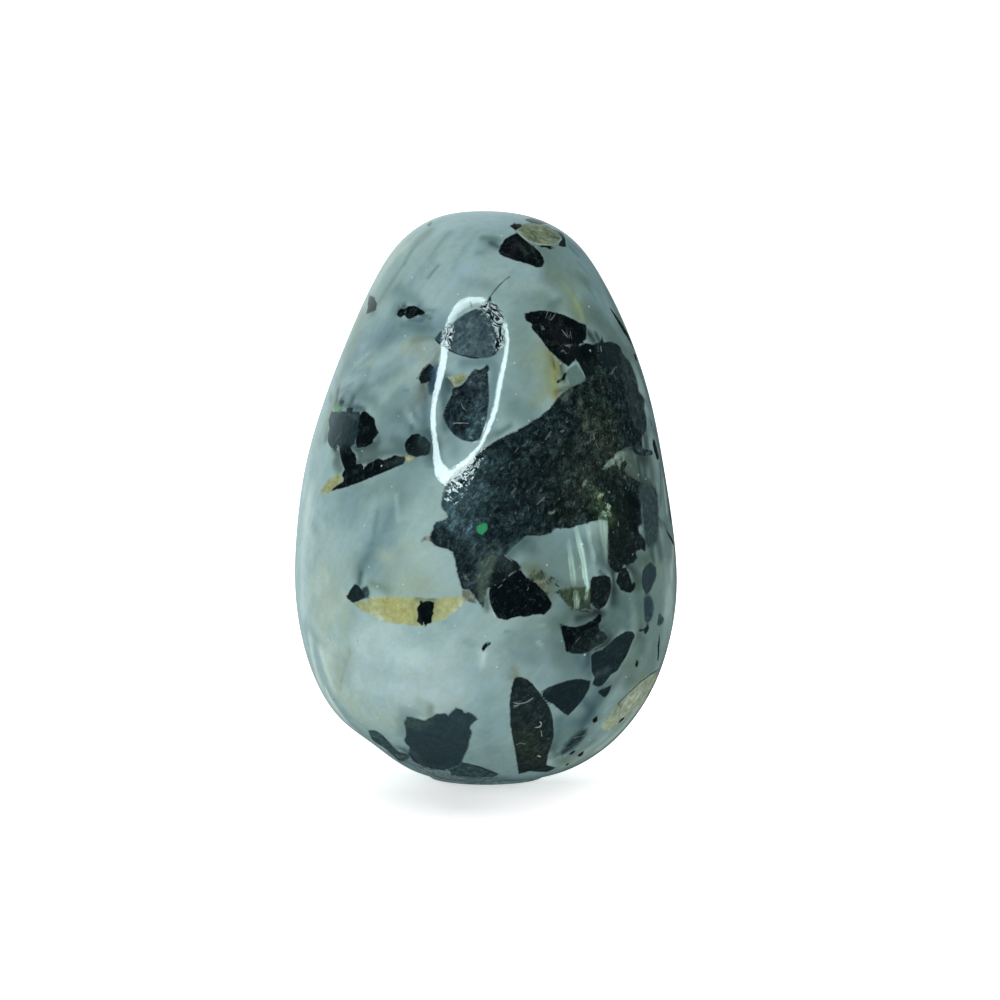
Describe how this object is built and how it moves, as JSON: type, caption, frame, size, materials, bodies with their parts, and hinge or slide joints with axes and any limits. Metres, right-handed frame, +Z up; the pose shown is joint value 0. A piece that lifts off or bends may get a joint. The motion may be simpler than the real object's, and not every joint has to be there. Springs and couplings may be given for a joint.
{
  "type": "rainbow moonstone egg",
  "caption": "Polished egg-shaped stone that stands upright on a small flat spot at its blunt end.",
  "frame": {"origin": "middle of the flat spot that the egg stands on", "axes": "+Z up along the egg's long axis, from the flat spot to the crown; -Y is the side that the picture shows; +X is that view's right"},
  "size_m": [0.0404, 0.0392, 0.06],
  "materials": {
    "moonstone": "high polish, milky blue-grey feldspar with black tourmaline inclusions and ochre stains"
  },
  "bodies": {
    "root": {"egg": "moonstone"}
  },
  "joints": []
}
